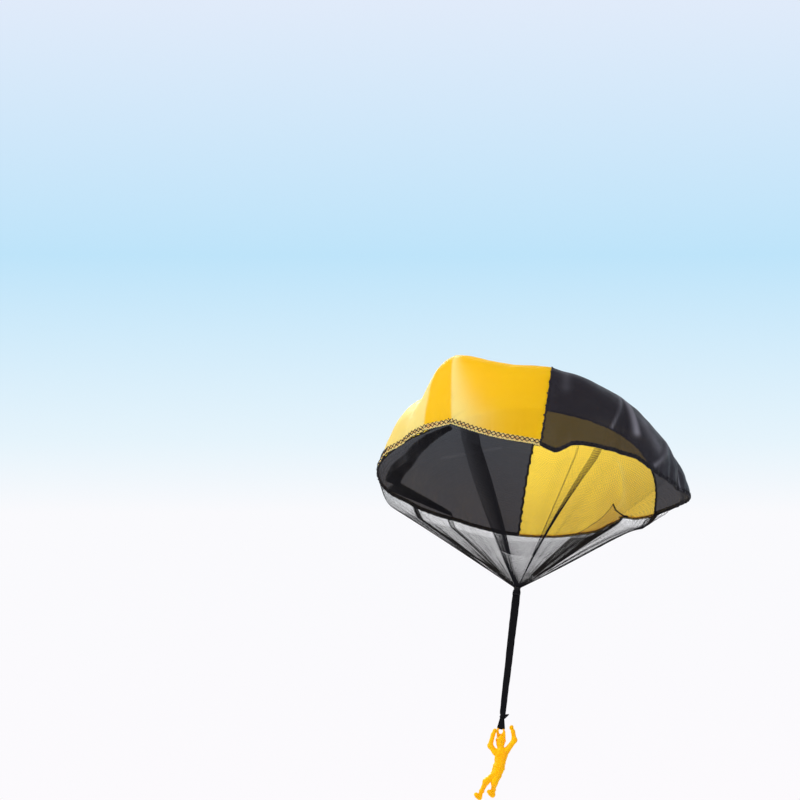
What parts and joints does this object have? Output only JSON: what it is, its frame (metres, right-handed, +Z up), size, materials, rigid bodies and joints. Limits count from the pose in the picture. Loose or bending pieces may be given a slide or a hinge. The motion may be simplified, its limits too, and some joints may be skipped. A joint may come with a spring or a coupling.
{
  "type": "toy parachute",
  "caption": "Hand-thrown toy parachute: a panelled cloth canopy with a net skirt gathered into one strap, and a moulded figure hanging from the strap's loop.",
  "frame": {"origin": "the crown of the canopy, where its seams cross", "axes": "+Z up as it hangs, +X to the right as seen from the front of the picture, -Y towards that viewer"},
  "size_m": [0.3543, 0.3556, 0.4657],
  "materials": {
    "yellow_cloth": "satin nylon cloth",
    "black_cloth": "thin satin nylon cloth",
    "black_thread": "folded and overlocked seam",
    "black_net": "fine tulle net",
    "black_ribbon": "woven ribbon",
    "yellow_plastic": "moulded, slightly glossy"
  },
  "bodies": {
    "canopy": {"canopy_panel_front_left": "yellow_cloth", "canopy_panel_front_right": "black_cloth", "canopy_panel_back_right": "yellow_cloth", "canopy_panel_back_left": "black_cloth", "seam_front_to_back": "black_thread", "seam_right": "black_thread", "seam_left": "black_thread", "hem_front_left": "yellow_cloth", "hem_front_right": "black_cloth", "hem_back_right": "yellow_cloth", "hem_back_left": "black_cloth", "net_gore_1": "black_net", "net_gore_2": "black_net", "net_gore_3": "black_net", "net_gore_4": "black_net", "net_gore_5": "black_net", "net_gore_6": "black_net", "net_gore_7": "black_net", "net_gore_8": "black_net", "net_gather": "black_net", "gather_wrap": "black_ribbon"},
    "strap_head": {"strap_head": "black_ribbon"},
    "strap": {"strap_front_run": "black_ribbon", "strap_back_run": "black_ribbon"},
    "knot": {"strap_knot": "black_ribbon", "strap_tail": "black_ribbon"},
    "loop": {"strap_loop": "black_ribbon"},
    "figure": {"figure": "yellow_plastic"}
  },
  "joints": [
    {"name": "strap_fore_aft", "type": "hinge", "parent": "canopy", "child": "strap_head", "pos_m": [-0.0062, 0, -0.2243], "axis": [1, 0, 0], "range_deg": [-60, 60]},
    {"name": "strap_side", "type": "hinge", "parent": "strap_head", "child": "strap", "pos_m": [-0.0062, 0, -0.2243], "axis": [0, 1, 0], "range_deg": [-60, 60]},
    {"name": "strap_twist", "type": "hinge", "parent": "strap", "child": "knot", "pos_m": [-0.0062, 0, -0.3585], "axis": [0, 0, 1], "range_deg": [-180, 180]},
    {"name": "loop_tilt", "type": "hinge", "parent": "knot", "child": "loop", "pos_m": [-0.0062, 0, -0.3585], "axis": [1, 0, 0], "range_deg": [-45, 45]},
    {"name": "figure_swing", "type": "hinge", "parent": "loop", "child": "figure", "pos_m": [-0.0062, 0, -0.3749], "axis": [0, 1, 0], "range_deg": [-30, 30]}
  ]
}
